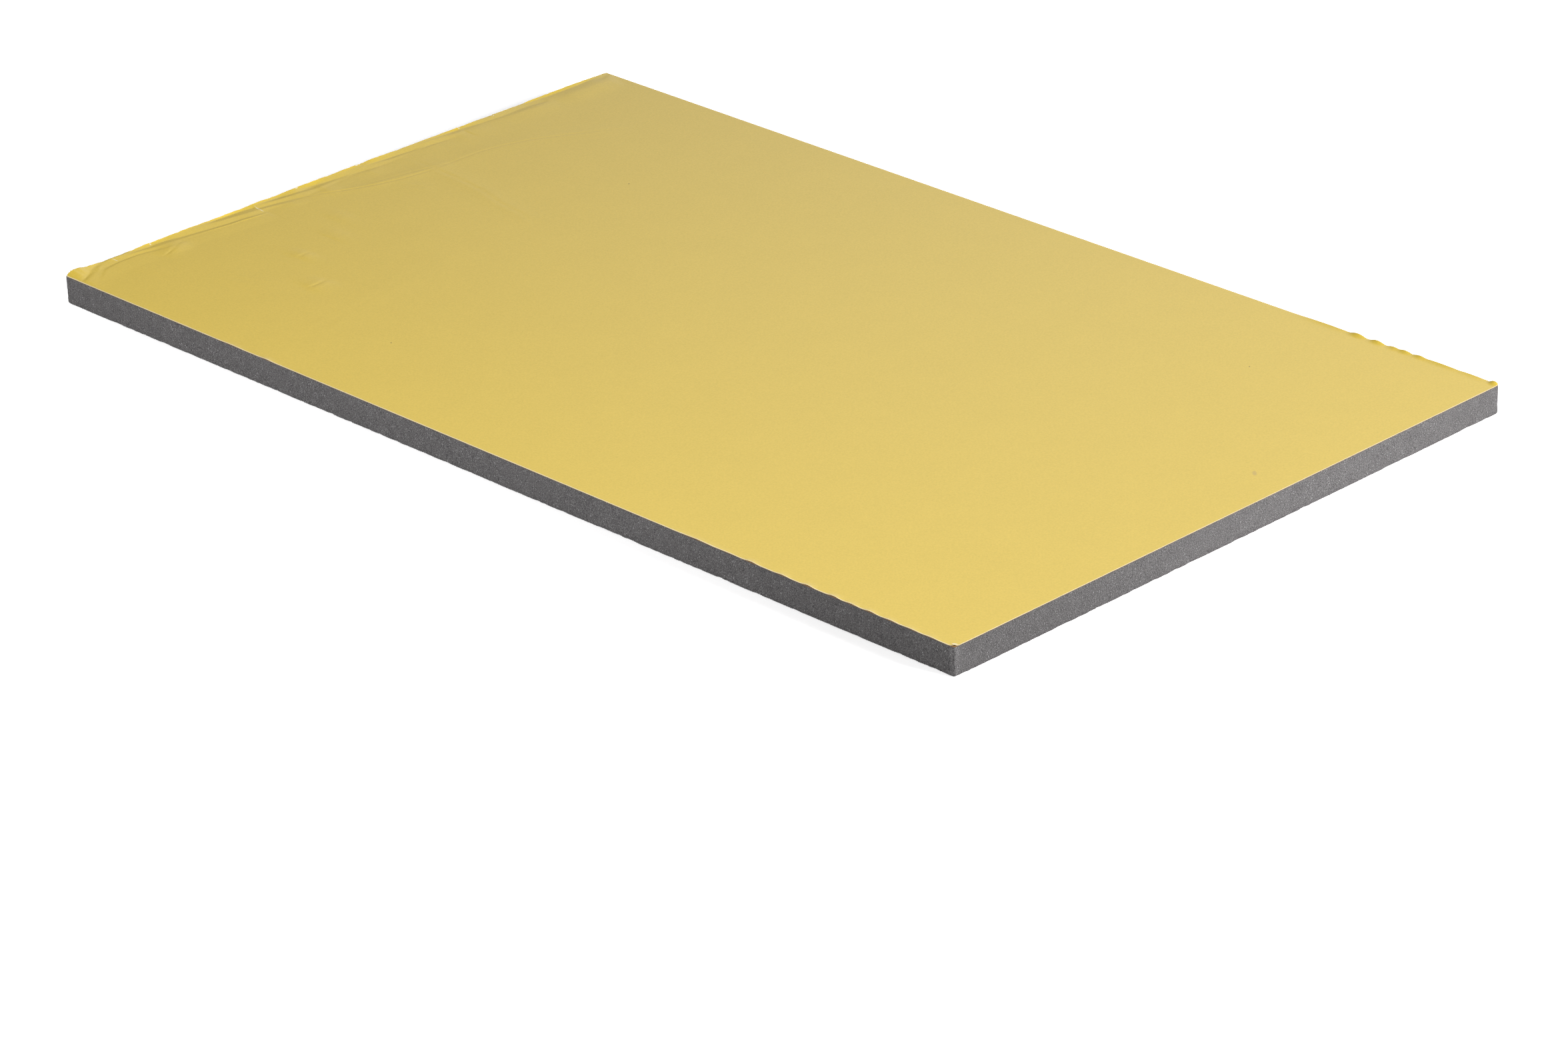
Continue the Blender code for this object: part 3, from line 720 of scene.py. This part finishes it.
def paper_underside():
    """The underside as a grid of points, each lifted by the highest wave there plus its creases."""
    half_length, half_width = paper_high[0], paper_high[1]
    left, front = np.meshgrid(stations(2 * half_length / MILLIMETRE, X_STEPS),
                              stations(2 * half_width / MILLIMETRE, Y_STEPS))
    left = follow(left, front)
    generator = np.random.default_rng(PAPER_SEED)
    ragged = EDGE_RAGGED * np.abs(generator.standard_normal((len(left), 1))) * np.exp(-left / RAGGED_REACH)
    moved = left + ragged - flap_slide(front, left)
    x, y = round_corners(moved * MILLIMETRE - half_length, front * MILLIMETRE - half_width,
                         half_length, half_width, PAPER_CORNER)
    right, back = (half_length - x) / MILLIMETRE, (half_width - y) / MILLIMETRE
    lift = np.maximum(edge_waves(right, front, back), left_end(front, left))
    lift += sum(crease(left, front, *made) for made in CREASES)
    return np.stack([x, y, paper_low[2] + lift * MILLIMETRE], -1)


def loop_round(index):
    """The numbers on the border of a grid of numbers, anticlockwise, each once."""
    return np.concatenate([index[0, :-1], index[:-1, -1], index[-1, :0:-1], index[:0:-1, 0]])


def sheet_faces(rows, columns, rows_in, columns_in):
    """The face, rim, frame and patch of a sheet whose underside's points follow those of its face.

    The patch is the flat middle, as one polygon. Its first and last grid lines are rows_in and columns_in.
    """
    face = np.array(grid_faces(rows, columns))
    row, column = np.divmod(face[:, 0], columns)
    middle = (row >= rows_in[0]) & (row < rows_in[1]) & (column >= columns_in[0]) & (column < columns_in[1])
    index = np.arange(rows * columns).reshape(rows, columns)
    under = index + rows * columns
    border, border_under = loop_round(index), loop_round(under)
    rim = np.stack([border, border_under, np.roll(border_under, -1), np.roll(border, -1)], -1)
    patch = loop_round(under[rows_in[0]:rows_in[1] + 1, columns_in[0]:columns_in[1] + 1])[::-1]
    around = face[~middle][:, ::-1] + rows * columns
    return face, rim, around, patch


def paper_mesh():
    """Points, faces and which faces are rim.

    The patch's border is pressed flat, and points that no face uses are left out.
    """
    underside = paper_underside()
    rows, columns = underside.shape[:2]
    from_left = underside[rows // 2, :, 0] - underside[rows // 2, 0, 0]
    from_front = underside[:, columns // 2, 1] - underside[0, columns // 2, 1]
    left, side = (width * MILLIMETRE for width in FRAME_WIDTH)
    inner_columns = np.searchsorted(from_left, (left, from_left[-1] - side))
    inner_rows = np.searchsorted(from_front, (side, from_front[-1] - side))
    face, rim, around, patch = sheet_faces(rows, columns, inner_rows, inner_columns)
    lower = underside.reshape(-1, 3)
    points = np.concatenate([lower + (0, 0, PAPER_THICKNESS), lower])
    points[patch, 2] = paper_low[2]
    used = np.unique(np.concatenate([face.ravel(), around.ravel(), patch]))
    number = np.zeros(len(points), int)
    number[used] = np.arange(len(used))
    quads = number[np.concatenate([face, rim, around])]
    is_rim = np.zeros(len(quads) + 1, np.int32)
    is_rim[len(face):len(face) + len(rim)] = 1
    return points[used], quads.tolist() + [number[patch].tolist()], is_rim


# %% [markdown]
# ## Paper finish
# Real thing: release paper, coated with silicone and dyed yellow. The coat is satin, with a
# faint orange-peel, and pale at glancing angles. Along the right end and the front a narrow
# cream strip is partly the cut core and partly a painted highlight where the cut edge catches
# the lamp. Pale flecks are partly coat torn out to the core and partly painted highlights on
# creased edges; the one at the near corner is a painted highlight. There are specks of dirt
# and one soft stain. The cut rim is uncoated cream paper.

# %% Paper materials
PAPER_YELLOW = 0xF0D056
PAPER_SHADE = 0xE2C44E
PAPER_CORE = 0xF6EBCB
PAPER_CORE_SHADE = 0xE9D9A8
# cream strip along the right end and front: partly the cut core, partly a painted highlight
PAPER_CORE_AND_HIGHLIGHT = 0xF8E6B0
CORE_AND_HIGHLIGHT_WIDTH = (0.5 * MILLIMETRE, 0.8 * MILLIMETRE)   # width of the cream strip, partly core and partly painted highlight: right end, front edge
CORE_AND_HIGHLIGHT_BORDER = (0.4, 0.6)        # shares of that width between which it ends
CORE_AND_HIGHLIGHT_FRAY = 2.5 * MILLIMETRE
ORANGE_PEEL = 1.5 * MILLIMETRE
PEEL_BUMP = 0.15 * MILLIMETRE
CLOUD_SIZE = 100 / 3 * MILLIMETRE
CLOUD_SHARE = 0.2               # how much the clouds add to the peel's level
TONE_RANGE = (0.30, 0.90)       # level of the two at the darker and at the lighter yellow
FIBRE_SIZE = 10 / 9 * MILLIMETRE
SPECK = 0x7A5B2A
STAIN = 0xD6B75A
PALE_CORE_AND_HIGHLIGHT = 0xFFF4D4        # partly torn coat showing the paper's core, partly painted highlights on creased edges
MARK_FRAY = 2 / 3 * MILLIMETRE
MARK_BORDER = (1.15, 1.55)      # distance in half-axes, plus the noise, at which a mark is full and ends
MARKS = [       # millimetres: from the left end, from the front edge, half-length, half-width, turn; colour
    (202, 437, 0.7, 0.7, 0, SPECK),
    (835, 499, 0.7, 0.7, 0, SPECK),
    (301, 87, 0.7, 0.7, 0, SPECK),
    (966, 356, 4.2, 1.9, -44, STAIN),
    # pale flecks at the left end: partly coat torn out to the core, partly painted highlights on creased
    # edges
    (5, 47, 4, 0.30, 10, PALE_CORE_AND_HIGHLIGHT),
    (1.6, 87, 1.2, 0.6, 0, PALE_CORE_AND_HIGHLIGHT),
    (11, 195.5, 7.5, 0.42, -6, PALE_CORE_AND_HIGHLIGHT),
    (0.9, 244.5, 0.7, 1.6, 0, PALE_CORE_AND_HIGHLIGHT),
    (0.9, 311, 0.7, 1.5, 0, PALE_CORE_AND_HIGHLIGHT),
    (1.4, 426, 1, 0.8, 0, PALE_CORE_AND_HIGHLIGHT),
    (2.4, 465, 0.9, 0.6, 0, PALE_CORE_AND_HIGHLIGHT),
    # a painted highlight on the bend of the near corner's dog-ear
    (996.4, 4, 2.2, 1.2, 20, PALE_CORE_AND_HIGHLIGHT),
]


def mark_mask(tree, place, mark):
    """1 inside an ellipse on the sheet, 0 outside, with a border frayed by noise.

    The place is moved to the ellipse's middle, turned and divided by its half-axes, and the
    length of the result plus the noise is compared with the border.
    """
    left, front, half_length, half_width, turn, _ = mark
    middle = (paper_low[0] + left * MILLIMETRE, paper_low[1] + front * MILLIMETRE, 0.0)
    inner = add_node(tree, "ShaderNodeMapping", vector_type="TEXTURE", links={"Vector": place},
                     values={"Location": middle, "Rotation": (0.0, 0.0, math.radians(turn)),
                             "Scale": (half_length * MILLIMETRE, half_width * MILLIMETRE, 1.0)})
    flat = add_node(tree, "ShaderNodeVectorMath", operation="MULTIPLY", links={0: inner.outputs["Vector"]},
                    values={1: (1.0, 1.0, 0.0)})
    reach = add_node(tree, "ShaderNodeVectorMath", operation="LENGTH", links={0: flat.outputs["Vector"]})
    fray = add_node(tree, "ShaderNodeTexNoise", links={"Vector": place},
                    values={"Scale": 1 / MARK_FRAY, "Detail": 2.0})
    total = add_node(tree, "ShaderNodeMath", operation="ADD",
                     links={0: reach.outputs["Value"], 1: fray.outputs["Fac"]})
    inside = add_node(tree, "ShaderNodeMapRange", links={"Value": total.outputs["Value"]},
                      values={"From Min": MARK_BORDER[1], "From Max": MARK_BORDER[0]})
    return inside.outputs["Result"]


def paper_material():
    """Satin yellow, mottled, with an orange-peel bump, the marks, and a cream strip on the right and front
    edges, partly core and partly painted highlight.
    """
    material, tree = new_material("silicone_coated_release_paper")
    place = add_node(tree, "ShaderNodeTexCoord").outputs["Object"]
    peel = add_node(tree, "ShaderNodeTexNoise", links={"Vector": place},
                    values={"Scale": 1 / ORANGE_PEEL, "Detail": 2.0, "Roughness": 0.6})
    cloud = add_node(tree, "ShaderNodeTexNoise", links={"Vector": place},
                     values={"Scale": 1 / CLOUD_SIZE, "Detail": 3.0, "Roughness": 0.5})
    mottle = add_node(tree, "ShaderNodeMath", operation="MULTIPLY_ADD",
                      links={0: cloud.outputs["Fac"], 2: peel.outputs["Fac"]}, values={1: CLOUD_SHARE})
    share = add_node(tree, "ShaderNodeMapRange", links={"Value": mottle.outputs["Value"]},
                     values={"From Min": TONE_RANGE[0], "From Max": TONE_RANGE[1]})
    colour = add_node(tree, "ShaderNodeMix", data_type="RGBA", links={"Factor": share.outputs["Result"]},
                      values={"A": srgb(PAPER_SHADE), "B": srgb(PAPER_YELLOW)}).outputs["Result"]
    for mark in MARKS:
        colour = add_node(tree, "ShaderNodeMix", data_type="RGBA",
                          links={"Factor": mark_mask(tree, place, mark), "A": colour},
                          values={"B": srgb(mark[-1])}).outputs["Result"]
    parts = add_node(tree, "ShaderNodeSeparateXYZ", links={0: place})
    fray = add_node(tree, "ShaderNodeTexNoise", links={"Vector": place},
                    values={"Scale": 1 / CORE_AND_HIGHLIGHT_FRAY, "Detail": 2.0})
    edges = []
    for axis, far, width in (("X", paper_high[0], CORE_AND_HIGHLIGHT_WIDTH[0]), ("Y", paper_low[1], CORE_AND_HIGHLIGHT_WIDTH[1])):
        line = far - math.copysign(width, far)
        frayed = add_node(tree, "ShaderNodeMath", operation="MULTIPLY_ADD",
                          links={0: fray.outputs["Fac"], 2: parts.outputs[axis]},
                          values={1: math.copysign(width, far)})
        edges.append(add_node(tree, "ShaderNodeMapRange", links={"Value": frayed.outputs["Value"]},
                              values={"From Min": line + math.copysign(CORE_AND_HIGHLIGHT_BORDER[0] * width, far),
                                      "From Max": line + math.copysign(CORE_AND_HIGHLIGHT_BORDER[1] * width, far)}))
    # the cream strip: partly the cut core, partly a painted highlight along the lit edges
    core_and_highlight = add_node(tree, "ShaderNodeMath", operation="MAXIMUM",
                    links={0: edges[0].outputs["Result"], 1: edges[1].outputs["Result"]})
    colour = add_node(tree, "ShaderNodeMix", data_type="RGBA",
                      links={"Factor": core_and_highlight.outputs["Value"], "A": colour},
                      values={"B": srgb(PAPER_CORE_AND_HIGHLIGHT)}).outputs["Result"]
    bump = add_node(tree, "ShaderNodeBump", links={"Height": peel.outputs["Fac"]},
                    values={"Strength": 0.12, "Distance": PEEL_BUMP})
    shader = add_node(tree, "ShaderNodeBsdfPrincipled",
                      links={"Base Color": colour, "Normal": bump.outputs["Normal"]},
                      values={"Roughness": 0.26, "IOR": 1.58})
    add_node(tree, "ShaderNodeOutputMaterial", links={"Surface": shader.outputs["BSDF"]})
    return material


def paper_rim_material():
    """Uncoated cream paper with a fibrous tone."""
    material, tree = new_material("cut_paper_core")
    place = add_node(tree, "ShaderNodeTexCoord").outputs["Object"]
    fibres = add_node(tree, "ShaderNodeTexNoise", links={"Vector": place},
                      values={"Scale": 1 / FIBRE_SIZE, "Detail": 2.0})
    colour = add_node(tree, "ShaderNodeMix", data_type="RGBA", links={"Factor": fibres.outputs["Fac"]},
                      values={"A": srgb(PAPER_CORE), "B": srgb(PAPER_CORE_SHADE)})
    shader = add_node(tree, "ShaderNodeBsdfPrincipled", links={"Base Color": colour.outputs["Result"]},
                      values={"Roughness": 0.85})
    add_node(tree, "ShaderNodeOutputMaterial", links={"Surface": shader.outputs["BSDF"]})
    return material


points, faces, is_rim = paper_mesh()
paper = mesh_object("release_paper", points, faces, paper_material())
paper.data.materials.append(paper_rim_material())
paper.data.polygons.foreach_set("material_index", is_rim)
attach(paper, "root")
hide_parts("release_liner")
print_triangles(paper)

# %% [markdown]
# ## The adhesive coat
# Under the paper the foam carries a thin coat of pressure-sensitive adhesive. It only shows
# as a thin dark amber line between foam and paper, and where the paper stands up. Its dark
# amber brown is partly the adhesive's own colour and partly painted shade under the paper's
# edge and in the dog-ear's gap. It is a closed film with the paper's outline, which fills the
# space between slab and paper.

# %% Adhesive coat
COAT_GAP = 0.01 * MILLIMETRE        # clear of the slab below and of the paper above
COAT_STEP = 2.0 * MILLIMETRE
COAT_WANDER = 0.12 * MILLIMETRE     # how far its edge draws back here and there
COAT_BLUR = 1.0                     # how far this is smoothed, in steps
COAT_SEED = 5
# dark amber brown: partly the adhesive's colour, partly painted shade under the paper's edge and in the
# dog-ear's gap
COAT_AMBER_AND_SHADE = 0x8E6A4A
COAT_PALE = 0xB08E62
COAT_STREAKS = 1.2 * MILLIMETRE
COAT_BUMP = 0.1 * MILLIMETRE


def coat_mesh():
    """Two rings on the paper's outline, drawn back by smooth noise, each closed by a polygon."""
    points, normals = outline(paper_high[0], paper_high[1], PAPER_CORNER, COAT_STEP)
    generator = np.random.default_rng(COAT_SEED)
    inset = COAT_WANDER * np.abs(smooth_noise(2, len(points), COAT_BLUR, generator))
    flat = points[None] - normals[None] * inset[:, :, None]
    level = np.array([slab_high[2] + COAT_GAP, paper_low[2] - COAT_GAP])[:, None, None]
    rings = np.concatenate([flat, np.broadcast_to(level, flat.shape[:2] + (1,))], -1)
    count = len(points)
    faces = grid_faces(2, count, closed=True) + [list(range(count))[::-1], list(range(count, 2 * count))]
    return rings.reshape(-1, 3), faces


def adhesive_material():
    """Acrylic adhesive, coated from the melt: amber brown, partly its own colour and partly painted shade,
    paler where thin, tacky and so slightly shiny.
    """
    material, tree = new_material("acrylic_adhesive")
    place = add_node(tree, "ShaderNodeTexCoord").outputs["Object"]
    streaks = add_node(tree, "ShaderNodeTexNoise", links={"Vector": place},
                       values={"Scale": 1 / COAT_STREAKS, "Detail": 2.0, "Roughness": 0.6})
    colour = add_node(tree, "ShaderNodeMix", data_type="RGBA", links={"Factor": streaks.outputs["Fac"]},
                      values={"A": srgb(COAT_AMBER_AND_SHADE), "B": srgb(COAT_PALE)})
    bump = add_node(tree, "ShaderNodeBump", links={"Height": streaks.outputs["Fac"]},
                    values={"Strength": 0.2, "Distance": COAT_BUMP})
    shader = add_node(tree, "ShaderNodeBsdfPrincipled",
                      links={"Base Color": colour.outputs["Result"], "Normal": bump.outputs["Normal"]},
                      values={"Roughness": 0.45, "IOR": 1.47})
    add_node(tree, "ShaderNodeOutputMaterial", links={"Surface": shader.outputs["BSDF"]})
    return material


coat = mesh_object("adhesive_coat", *coat_mesh(), adhesive_material())
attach(coat, "root")
print_triangles(coat)
